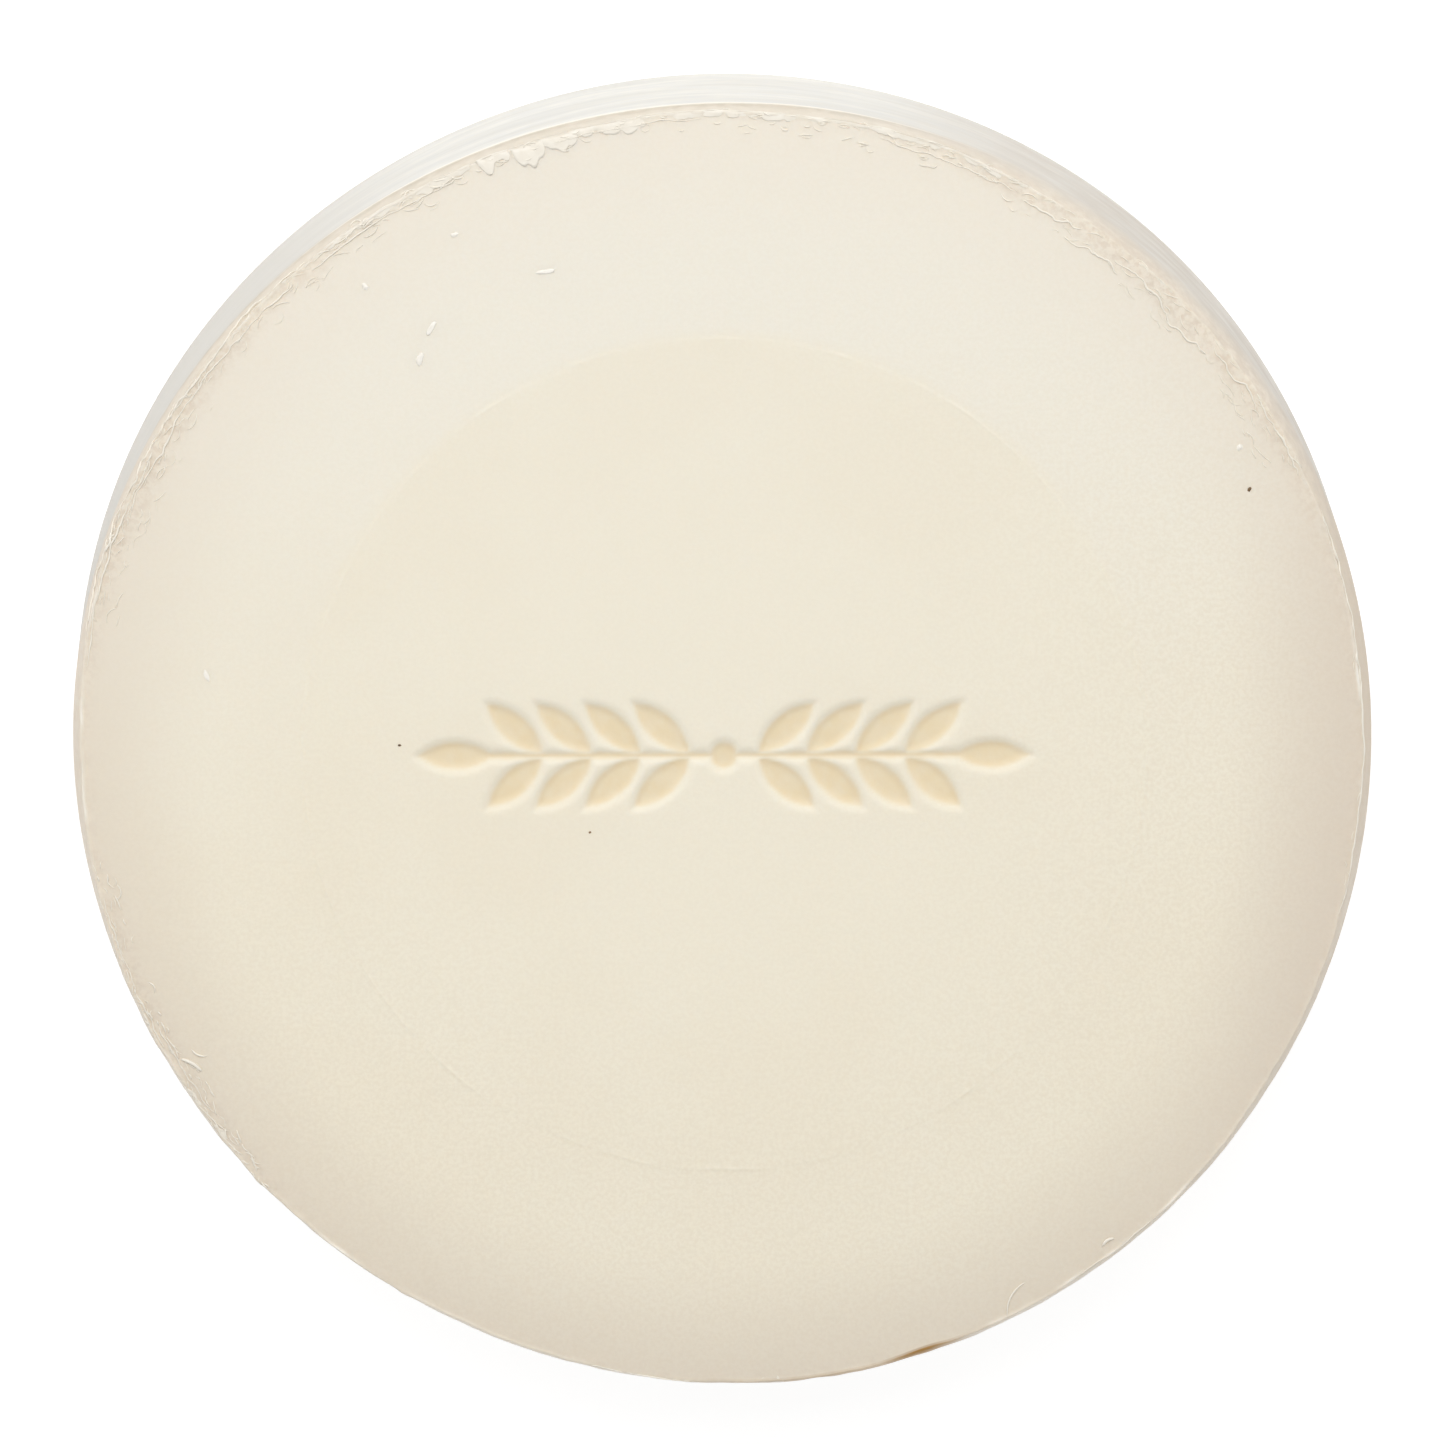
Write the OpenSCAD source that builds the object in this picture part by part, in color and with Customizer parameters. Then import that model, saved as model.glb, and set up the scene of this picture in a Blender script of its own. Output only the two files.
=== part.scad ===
// Shaving soap puck: a pressed cake of hard soap, lying on its back face, stamped face up.
// The origin is the centre of the rest face, +Z runs up the cake's axis and +Y is 12 o'clock.
// The slivers of pressing flash along the front rim and the loose bits are solids of their own.

/* [Cake] */
// Diameter across the side wall
cake_d = 74; // [57:0.5:90]
// Thickness from the rest face to the stamped face
cake_t = 19; // [14:0.5:30]
// How far each shoulder steps in from the side wall
shoulder_in = 0.7; // [0.4:0.1:1.2]
// How far each shoulder reaches along the side
shoulder_drop = 3; // [2:0.1:4.5]
// Radius of the shoulder's slight bulge
shoulder_bulge_r = 12; // [8:1:30]
// Width of the outer band where each face falls away
crown_band = 7; // [4:0.5:10]
// How far each face falls across that band
crown_fall = 0.6; // [0.2:0.1:0.9]

/* [Stamped face] */
// Diameter of the fine raised line around the stamp
witness_d = 47.8; // [38:0.2:56]
// Radius of that line's round section
witness_r = 0.12; // [0.08:0.01:0.2]
// How far that line stands above the face
witness_h = 0.06; // [0.03:0.01:0.1]
// Depth of the stamped sprig
stamp_depth = 0.3; // [0.2:0.1:1]
// Length of the whole sprig, tip to tip
sprig_l = 35; // [26:1:37]
// Width of the sprig's stem
stem_w = 0.6; // [0.3:0.1:0.8]
// Length of a side leaf
leaf_l = 4.6; // [3:0.1:4.8]
// Width of a side leaf
leaf_w = 1.8; // [1:0.1:2]
// Lean of a side leaf away from the stem, in degrees
leaf_lean = 42; // [30:1:55]
// Number of leaf pairs on each half of the sprig
leaf_pairs = 4; // [3:1:4]
// Diameter of the berry at the middle of the sprig
berry_d = 1.8; // [1.2:0.1:2.2]

/* [Pressing flash] */
// Thickness of a sliver
flash_t = 0.15; // [0.1:0.05:0.3]
// Narrowest width of a sliver
flash_min_w = 0.12; // [0.08:0.02:0.2]
// Gap between a sliver's outer edge and the edge of the face
flash_inset = 0.06; // [0.04:0.01:0.1]

/* [Hidden] */
$fn = 128;

cake_r = cake_d / 2;
face_r = cake_r - shoulder_in;
flat_r = face_r - crown_band;
edge_z = cake_t - crown_fall;
// The face's outer band is an arc that starts level at flat_r and reaches edge_z at face_r
crown_r = (pow(crown_band, 2) + pow(crown_fall, 2)) / (2 * crown_fall);
crown_z = cake_t - crown_r;
// The shoulder is an arc from the edge of the face to the side wall
shoulder_chord = norm([shoulder_in, shoulder_drop]);
shoulder_tilt = atan2(shoulder_in, shoulder_drop);
shoulder_sag_r = sqrt(pow(shoulder_bulge_r, 2) - pow(shoulder_chord / 2, 2));
shoulder_x = cake_r - shoulder_in / 2 - shoulder_sag_r * cos(shoulder_tilt);
shoulder_z = edge_z - shoulder_drop / 2 - shoulder_sag_r * sin(shoulder_tilt);

soap = [0.93, 0.90, 0.83];
pale_soap = [0.97, 0.96, 0.93];
grit = [0.35, 0.27, 0.18];
cut = 1;

// Everything under the stamped face's curve
module under_crown() {
    square([flat_r, cake_t]);
    intersection() {
        translate([flat_r, crown_z])
            circle(crown_r);
        translate([flat_r - cut, 0])
            square([crown_band + shoulder_in + cut, cake_t]);
    }
}

// Everything inside the side wall and the shoulder's arc
module inside_shoulder() {
    square([cake_r, edge_z - shoulder_drop]);
    square([face_r, cake_t]);
    intersection() {
        translate([shoulder_x, shoulder_z])
            circle(shoulder_bulge_r);
        translate([flat_r, edge_z - shoulder_drop - cut])
            square([cake_r - flat_r, shoulder_drop + crown_fall + cut]);
    }
}

// Height of the stamped face at radius r
function face_height(r) = crown_z + sqrt(pow(crown_r, 2) - pow(max(0, r - flat_r), 2));

// Half section of the upper half of the cake
module upper_section() {
    intersection() {
        under_crown();
        inside_shoulder();
        translate([0, cake_t / 2])
            square([cake_r, cake_t / 2]);
    }
}

module cake_section() {
    upper_section();
    translate([0, cake_t])
        mirror([0, 1])
            upper_section();
}

// A pointed leaf lying along +X from the origin
module leaf(length, width) {
    bow_r = (pow(length, 2) + pow(width, 2)) / (4 * width);
    translate([length / 2, 0])
        intersection() {
            translate([0, bow_r - width / 2])
                circle(bow_r);
            translate([0, width / 2 - bow_r])
                circle(bow_r);
        }
}

// One half of the sprig: a stem, pairs of side leaves and a leaf at the tip
module half_sprig() {
    first_leaf = berry_d / 2 + 0.9;
    tip_leaf = sprig_l / 2 - leaf_l;
    pitch = (tip_leaf - first_leaf) / leaf_pairs;
    translate([0, -stem_w / 2])
        square([tip_leaf + leaf_l / 2, stem_w]);
    for (i = [0 : leaf_pairs - 1], side = [-1, 1])
        translate([first_leaf + i * pitch, 0])
            rotate(side * leaf_lean)
                leaf(leaf_l, leaf_w);
    translate([tip_leaf, 0])
        leaf(leaf_l, leaf_w);
}

module sprig() {
    circle(d = berry_d);
    half_sprig();
    mirror([1, 0])
        half_sprig();
}

module soap_cake() {
    color(soap)
        difference() {
            union() {
                rotate_extrude()
                    cake_section();
                translate([0, 0, cake_t + witness_h - witness_r])
                    rotate_extrude()
                        translate([witness_d / 2, 0])
                            circle(witness_r);
            }
            translate([0, 0, cake_t - stamp_depth])
                linear_extrude(stamp_depth + cut)
                    sprig();
        }
}

// A thin layer lying on the outer band of the stamped face
module flash_layer() {
    rotate_extrude()
        intersection() {
            difference() {
                translate([flat_r, crown_z])
                    circle(crown_r + flash_t);
                translate([flat_r, crown_z])
                    circle(crown_r);
            }
            translate([flat_r + cut, edge_z - cut])
                square([crown_band - cut, crown_fall + flash_t + cut]);
        }
}

// Torn edge: two waves of different pitch along the rim, from 0 to 1
function torn(angle, seed) = 0.5 + 0.27 * sin(77 * angle + 90 * seed) + 0.23 * sin(190 * angle + 40 * seed);

// Width of a sliver at a share u of its run, drawn out to its narrowest at both ends
function sliver_w(u, angle, w, seed) =
    flash_min_w + (w - flash_min_w) * torn(angle, seed) * sqrt(4 * u * (1 - u));

// Outline of a sliver from angle a to angle b, back millimetres in from the edge of the face
function sliver_outline(a, b, w, back, seed) =
    let (steps = max(4, round((b - a) / 0.9)))
    let (outer_r = face_r - flash_inset - back)
    concat(
        [for (i = [0 : steps])
            let (u = i / steps, angle = a + (b - a) * u)
            let (r = outer_r - 0.1 * torn(angle, seed + 3))
            [r * cos(angle), r * sin(angle)]],
        [for (i = [steps : -1 : 0])
            let (u = i / steps, angle = a + (b - a) * u)
            let (r = outer_r - 0.1 * torn(angle, seed + 3) - sliver_w(u, angle, w, seed))
            [r * cos(angle), r * sin(angle)]]
    );

// A torn sliver lying on the face, from angle a to angle b and up to w wide
module sliver(a, b, w, seed, back = 0) {
    color(pale_soap)
        intersection() {
            flash_layer();
            translate([0, 0, edge_z - cut])
                linear_extrude(crown_fall + flash_t + 2 * cut)
                    polygon(sliver_outline(a, b, w, back, seed));
        }
}

module flash_flap_top() {
    sliver(89, 113, 1.6, 1);
}

module flash_strip_upper_left() {
    sliver(115, 129, 0.9, 2);
}

module flash_fringe_left() {
    sliver(131, 149, 0.6, 3);
    sliver(151, 168, 0.5, 4);
}

module flash_shreds_lower_left() {
    sliver(197, 206, 0.7, 5);
    sliver(208, 220, 0.9, 6);
}

module flash_nub_bottom() {
    sliver(261, 267, 0.7, 7);
    sliver(273, 276, 0.5, 15);
}

module flash_thread_lower_right() {
    sliver(296, 300, 0.3, 8, back = 0.7);
}

module flash_flake_lower_right() {
    sliver(305, 309, 0.9, 9, back = 0.2);
}

module flash_ridge_right() {
    sliver(-14, 3, 0.4, 10);
    sliver(5, 22, 0.4, 11);
}

module flash_fringe_upper_right() {
    sliver(27, 42, 0.6, 12);
    sliver(44, 61, 0.7, 13);
}

module flash_strip_top_right() {
    sliver(63, 87, 0.6, 14);
}

// Upper half of a rounded bit of stuff that lies along X on the plane z = 0
module half_bit(length, r) {
    reach = length / 2 - r;
    intersection() {
        union() {
            for (side = [-1, 1])
                translate([side * reach, 0, 0])
                    sphere(r);
            rotate([0, 90, 0])
                cylinder(h = 2 * reach, r = r, center = true);
        }
        translate([-length, -r - cut, 0])
            cube([2 * length, 2 * (r + cut), r + cut]);
    }
}

// A bit that rests on the slope of the stamped face. Its place is the share of the way out to the
// face's edge, the bearing, the bit's length and its turn away from the bearing.
module bit(place, r) {
    away = place[0] * face_r;
    slope = asin(max(0, away - flat_r) / crown_r);
    rotate(place[1])
        translate([away, 0, face_height(away)])
            rotate([0, slope, 0])
                rotate(place[3])
                    half_bit(place[2], r);
}

// Crumbs of soap pressed into the face, each a place for bit()
crumb_r = 0.2;
crumbs = [
    [0.922, 117, 0.6, 83],
    [0.927, 127, 0.6, 13],
    [0.815, 124, 1.0, 116],
    [0.786, 127, 0.8, 128],
    [0.813, 110, 1.1, 78],
    [0.817, 171, 0.8, 119],
    [0.939, 31, 0.6, 14],
];

module face_crumbs() {
    color(pale_soap)
        for (place = crumbs)
            bit(place, crumb_r);
}

// Dark grains in the face, each a place for bit()
speck_r = 0.12;
specks = [
    [0.507, 178, 0.4, 2],
    [0.920, 27, 0.45, 33],
    [0.242, 210, 0.35, 0],
];

module dark_specks() {
    color(grit)
        for (place = specks)
            bit(place, speck_r);
}

soap_cake();
flash_flap_top();
flash_strip_upper_left();
flash_fringe_left();
flash_shreds_lower_left();
flash_nub_bottom();
flash_thread_lower_right();
flash_flake_lower_right();
flash_ridge_right();
flash_fringe_upper_right();
flash_strip_top_right();
face_crumbs();
dark_specks();
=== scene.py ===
"""Shaving soap puck: the looks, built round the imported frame.

The puck lies on its back on z = 0 with the stamped face up. Shapes are worked out in millimetres
from the frame's boxes and turned into metres when a mesh is made.
"""
import math

import bpy
import numpy as np
from mathutils import Matrix, Vector


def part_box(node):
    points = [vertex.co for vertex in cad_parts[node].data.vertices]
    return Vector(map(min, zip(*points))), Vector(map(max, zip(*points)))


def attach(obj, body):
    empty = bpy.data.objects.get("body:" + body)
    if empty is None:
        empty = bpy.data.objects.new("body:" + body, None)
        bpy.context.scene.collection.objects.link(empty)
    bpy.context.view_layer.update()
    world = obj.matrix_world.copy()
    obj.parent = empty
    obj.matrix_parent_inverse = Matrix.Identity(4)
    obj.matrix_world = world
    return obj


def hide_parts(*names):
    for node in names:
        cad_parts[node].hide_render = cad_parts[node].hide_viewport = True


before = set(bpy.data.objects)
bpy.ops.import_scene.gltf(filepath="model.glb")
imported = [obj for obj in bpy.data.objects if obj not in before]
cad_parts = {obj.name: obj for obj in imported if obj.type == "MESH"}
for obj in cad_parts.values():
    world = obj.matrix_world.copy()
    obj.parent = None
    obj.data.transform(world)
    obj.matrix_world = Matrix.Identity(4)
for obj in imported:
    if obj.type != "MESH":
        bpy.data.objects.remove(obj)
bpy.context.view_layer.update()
MM = 0.001

# ---------------------------------------------------------------- the cake's section, in mm
CAKE_LOW, CAKE_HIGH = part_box("soap_cake")
WITNESS_H = 0.06  # how far the fine ring stands above the face
WALL_R = (CAKE_HIGH[0] - CAKE_LOW[0]) / 2 / MM
FACE_Z = (CAKE_HIGH[2] - CAKE_LOW[2]) / MM - WITNESS_H
SHOULDER_IN = 0.7
SHOULDER_DROP = 3.0
SHOULDER_BULGE_R = 12.0
CROWN_BAND = 7.0
CROWN_FALL = 0.6
WITNESS_R = 23.9
STAMP_DEPTH = 0.3
SPRIG_L = 35.0
STEM_W = 0.6
LEAF_L = 4.6
LEAF_W = 1.8
LEAF_LEAN = math.radians(42)
LEAF_PAIRS = 4
BERRY_R = 0.9

FACE_R = WALL_R - SHOULDER_IN
FLAT_R = FACE_R - CROWN_BAND
CROWN_R = (CROWN_BAND**2 + CROWN_FALL**2) / (2 * CROWN_FALL)
EDGE_Z = FACE_Z - CROWN_FALL
WALL_TOP = EDGE_Z - SHOULDER_DROP
WALL_LOW = FACE_Z - WALL_TOP
SKIN = 0.05  # the surface is drawn in by this much, so that its bumps stay inside the CAD box


# ---------------------------------------------------------------- noise
def lattice(ix, iy, iz, seed):
    """A repeatable value from 0 to 1 for each whole-number point."""
    h = ix * 73856093 ^ iy * 19349663 ^ iz * 83492791 ^ (seed + 1) * 2654435761
    h = (h & 0xFFFFFFFF) * 1274126177 & 0xFFFFFFFF
    h = (h ^ h >> 13) * 1597334677 & 0xFFFFFFFF
    return ((h ^ h >> 16) & 0xFFFFFF) / 0xFFFFFF


def value_noise(x, y, z, seed):
    """Smooth noise from -1 to 1 with features about one unit across."""
    x, y, z = np.broadcast_arrays(x, y, z)
    cell = [np.floor(c).astype(np.int64) for c in (x, y, z)]
    part = [c - np.floor(c) for c in (x, y, z)]
    soft = [t * t * (3 - 2 * t) for t in part]
    total = 0.0
    for corner in np.ndindex(2, 2, 2):
        share = 1.0
        for step, s in zip(corner, soft):
            share = share * (s if step else 1 - s)
        total = total + share * lattice(*(c + step for c, step in zip(cell, corner)), seed)
    return 2 * total - 1


def fractal(x, y, z, size, seed, octaves=3):
    """Noise of several octaves; size is the width of its largest features, in mm."""
    total, weight, norm = 0.0, 1.0, 0.0
    for i in range(octaves):
        k = 2**i / size
        total = total + weight * value_noise(x * k, y * k, z * k, seed + 17 * i)
        norm += weight
        weight *= 0.5
    return total / norm


def round_rim(angle, size, seed, octaves=3):
    """Noise along the rim, with features of that size in mm and no seam."""
    return fractal(FACE_R * np.cos(angle), FACE_R * np.sin(angle), 0.0, size, seed, octaves)


def smooth(low, high, value):
    t = np.clip((value - low) / (high - low), 0, 1)
    return t * t * (3 - 2 * t)


def bump_at(angle, centre, half_width):
    """1 at that bearing in degrees, falling smoothly to 0 half_width degrees away."""
    away = np.abs((np.degrees(angle) - centre + 180) % 360 - 180)
    return 1 - smooth(0, half_width, away)


# ---------------------------------------------------------------- the stamped sprig
def leaf_distance(x, y, base_x, lean):
    """Signed distance to a pointed leaf that starts at (base_x, 0) and leans by that angle."""
    u = (x - base_x) * math.cos(lean) + y * math.sin(lean) - LEAF_L / 2
    v = -(x - base_x) * math.sin(lean) + y * math.cos(lean)
    bow = (LEAF_L**2 + LEAF_W**2) / (4 * LEAF_W)
    off = bow - LEAF_W / 2
    return np.maximum(np.hypot(u, v - off), np.hypot(u, v + off)) - bow


def sprig_distance(x, y):
    """Signed distance to the sprig, which is the same on both sides of the middle."""
    x = np.abs(x)
    first = BERRY_R + 0.9
    tip = SPRIG_L / 2 - LEAF_L
    pitch = (tip - first) / LEAF_PAIRS
    d = np.hypot(x, y) - BERRY_R
    d = np.minimum(d, np.maximum(np.abs(y) - STEM_W / 2, x - tip - LEAF_L / 2))
    d = np.minimum(d, leaf_distance(x, y, tip, 0.0))
    for i in range(LEAF_PAIRS):
        for side in (-1, 1):
            d = np.minimum(d, leaf_distance(x, y, first + i * pitch, side * LEAF_LEAN))
    return d


# ---------------------------------------------------------------- the cake's surface
CHIP_BEARING = -72  # where the rim is chipped
CHIP_HALF = 6.0  # half width of the chip, in degrees of bearing
OVAL_LOBES = 0.19  # size of the three-sided wave in the outline
OVAL_LEAN = math.radians(140.6)
OVAL_SQUASH = 0.104  # how far it is flattened across one diagonal
STEEP_OUT = 0.42  # how much wider the face is where the shoulder is steep
STEEP_UP = 0.8  # and how much higher the side wall stands there


def crown_z(r):
    """Height of the smooth stamped face at radius r."""
    out = np.clip(r - FLAT_R, 0, CROWN_BAND + SHOULDER_IN)
    return FACE_Z - CROWN_R + np.sqrt(CROWN_R**2 - out**2)


def out_of_round(angle):
    """How far the outline strays from a circle: slightly three-sided, and true at 3, 6, 9 and 12."""
    lobes = OVAL_LOBES * (np.cos(3 * angle - OVAL_LEAN) - np.cos(angle + OVAL_LEAN))
    return lobes - OVAL_SQUASH * np.sin(2 * angle)


def steep(angle):
    """1 round the top and upper left, where the shoulder is steep and narrow, 0 elsewhere."""
    return smooth(0.0, 0.45, bump_at(angle, 118, 80))


def ridged(angle):
    """1 round the top, where a bead marks the top edge of the side wall, 0 elsewhere."""
    return smooth(0.0, 0.8, bump_at(angle, 100, 46))


def merged(angle):
    """1 at the upper right, where the shoulder runs into the side wall without an edge."""
    return bump_at(angle, 47, 40)


def rough(angle):
    """How torn the edge of the face is, from 0 to 1."""
    torn = 0.9 * bump_at(angle, 150, 34) + 0.9 * bump_at(angle, 45, 36)
    return np.clip(0.25 + torn + 0.65 * bump_at(angle, 207, 30) + 0.3 * bump_at(angle, 3, 30), 0, 1)


def rim_shift(angle):
    """How far the edge of the face wanders from the outline."""
    waves = 0.10 * round_rim(angle, 4.0, 3) + 0.07 * round_rim(angle, 1.3, 4, 2)
    waves = waves * (1 - 0.5 * bump_at(angle, 268, 50))
    spread = STEEP_OUT * steep(angle) + 0.05 * bump_at(angle, 40, 45)
    spread = spread + 0.28 * smooth(0, 0.6, bump_at(angle, 212, 45)) + 0.13 * bump_at(angle, 268, 42)
    chip = 0.14 * bump_at(angle, CHIP_BEARING, 4.4) + 0.05 * bump_at(angle, -68, 9)
    return waves + spread - chip


def shoulder_drop(angle):
    """How far the front shoulder falls before it meets the side wall."""
    return SHOULDER_DROP - STEEP_UP * steep(angle) - 0.12 * round_rim(angle, 7.0, 57, 3)


def face_edge(angle):
    """Radius of the edge of the stamped face."""
    return FACE_R + out_of_round(angle) + rim_shift(angle)


def face_height(x, y):
    """Height of the stamped face with its stamp, ring and small unevenness."""
    r = np.hypot(x, y)
    angle = np.arctan2(y, x)
    soft = 0.04 * fractal(x, y, 0, 1.1, 21, 2)
    sunk = 1 - smooth(-0.50, 0.30, sprig_distance(x, y) + soft)
    ring_r = WITNESS_R + 0.10 * round_rim(angle, 6.0, 8, 2)
    ring = np.exp(-(((r - ring_r) / 0.09) ** 2)) * (0.012 + 0.030 * round_rim(angle, 2.5, 9, 2))
    step = 0.016 * smooth(0.20, -0.20, r - ring_r)
    uneven = 0.030 * fractal(x, y, 0, 11, 31) + 0.008 * fractal(x, y, 0, 2.6, 33)
    pits = 0.012 * fractal(x, y, 0, 0.9, 35, 2) * sunk
    return crown_z(r) - STAMP_DEPTH * sunk + ring + step + uneven + pits - SKIN


def shoulder_point(share, shift, oval, drop=SHOULDER_DROP):
    """(r, z) on a shoulder: share 0 at the edge of the face, 1 at the side wall."""
    chord = math.hypot(SHOULDER_IN, SHOULDER_DROP)
    tilt = math.atan2(SHOULDER_IN, SHOULDER_DROP)
    sag = SHOULDER_BULGE_R - math.sqrt(SHOULDER_BULGE_R**2 - (chord / 2) ** 2)
    bulge = sag * 4 * share * (1 - share)
    r = FACE_R + SHOULDER_IN * share + bulge * math.cos(tilt) + shift * (1 - share) ** 1.5 + oval
    z = EDGE_Z - drop * share + bulge * math.sin(tilt)
    return r, z


def skin_z(r, edge):
    """Height of the cake's skin near the rim, on the face or just over its edge."""
    over = np.clip(r - edge, 0, 0.6)
    return crown_z(np.minimum(r, edge)) - over * SHOULDER_DROP / (SHOULDER_IN + 0.4) - SKIN


# ---------------------------------------------------------------- mesh helpers
def grid_outline(grid):
    """Numbers round the edge of a grid, from its corner [0, 0] along its first column."""
    return np.concatenate([grid[:-1, 0], grid[-1, :-1], grid[:0:-1, -1], grid[0, :0:-1]])


def piece(name, data, slot, *nodes):
    """A piece that rides on the puck and stands for those CAD nodes; slot is not used."""
    data.shade_smooth()
    obj = bpy.data.objects.new(name, data)
    bpy.context.scene.collection.objects.link(obj)
    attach(obj, "root")
    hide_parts(*nodes)
    return obj


class Builder:
    """Collects points, faces and named masks for one mesh, in millimetres."""

    def __init__(self, *mask_names):
        self.points = []
        self.faces = []
        self.masks = {name: [] for name in mask_names}
        self.count = 0

    def add(self, x, y, z, **masks):
        """Adds points and returns their numbers, in the shape of x."""
        x, y, z = np.broadcast_arrays(x, y, z)
        self.points.append(np.stack([x.ravel(), y.ravel(), z.ravel()], axis=1))
        for name, values in self.masks.items():
            values.append(np.broadcast_to(masks.get(name, 0.0), x.shape).ravel())
        numbers = np.arange(self.count, self.count + x.size).reshape(x.shape)
        self.count += x.size
        return numbers

    def quads(self, a, b, c, d):
        self.faces += np.stack([a, b, c, d], axis=-1).reshape(-1, 4).tolist()

    def join(self, inner, outer):
        """Faces between two closed rings; one may have twice as many points as the other."""
        next_in, next_out = np.roll(inner, -1), np.roll(outer, -1)
        if len(inner) == len(outer):
            self.quads(inner, outer, next_out, next_in)
            return
        if len(inner) < len(outer):
            mid, last = outer[1::2], np.roll(outer[::2], -1)
            fans = ((inner, outer[::2], mid), (inner, mid, next_in), (next_in, mid, last))
        else:
            mid, last = inner[1::2], np.roll(inner[::2], -1)
            fans = ((inner[::2], outer, mid), (mid, outer, next_out), (mid, next_out, last))
        for fan in fans:
            self.faces += np.stack(fan, axis=-1).tolist()

    def mesh(self, name):
        data = bpy.data.meshes.new(name)
        data.from_pydata((np.concatenate(self.points) * MM).tolist(), [], self.faces)
        for mask, values in self.masks.items():
            layer = data.attributes.new(mask, "FLOAT", "POINT")
            layer.data.foreach_set("value", np.concatenate(values).astype(np.float32))
        return data


# ---------------------------------------------------------------- the cake
PATCH_X, PATCH_Y = 18.3, 4.2  # half sides of the fine grid that holds the sprig
CELLS_X, CELLS_Y = 244, 56
INNER_R = WITNESS_R - 0.55  # where the rings turn from the patch's shape to circles

# Where the lip is low: bearing, half width and how much of it is gone
LOW_LIP = ((100, 30, 0.7), (45, 34, 0.85), (-25, 22, 0.7), (148, 30, 0.6), (-95, 40, 0.7))
# Rings along the edge of the face: inset from it, share of the lip's height, share of its pale tone,
# partly the lip's own and partly painted highlight
RIM_RINGS = ((1.70, 0.0, 0.0), (1.35, 0.0, 0.0), (1.05, 0.0, 0.0), (0.80, 0.0, 0.0),
             (0.60, 0.0, 0.0), (0.44, 0.0, 0.0), (0.32, 0.0, 0.0), (0.22, 0.1, 0.1),
             (0.15, 0.35, 0.5), (0.10, 0.9, 1.0), (0.05, 1.0, 1.0), (0.0, 0.5, 0.6))
SHOULDER_RINGS = (0.04, 0.10, 0.18, 0.27, 0.37, 0.48, 0.60, 0.72, 0.84, 0.94)
SHADOW_FULL, SHADOW_IN = 0.06, 0.16  # how far in the chip's painted shadow is full, and where it ends
BEAD_ROWS = (-0.08, 0.05, 0.18, 0.32, 0.50, 0.75, 1.1)  # rows below the shoulder that shape the bead
BEAD_DROP, BEAD_H = 0.10, 0.24  # where the bead's middle is, and how far it reaches up and down
BEAD_OUT = 0.05  # how far the bead stands out
BACK_SHARES = (0.85, 0.65, 0.45, 0.25, 0.1, 0.0)  # rings on the back shoulder
BACK_RINGS = (FACE_R - 0.25, FACE_R - 0.8, FACE_R - 2, 32.0, 29.0, 25.0, 20.0, 14.0, 8.0, 3.0)


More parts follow.
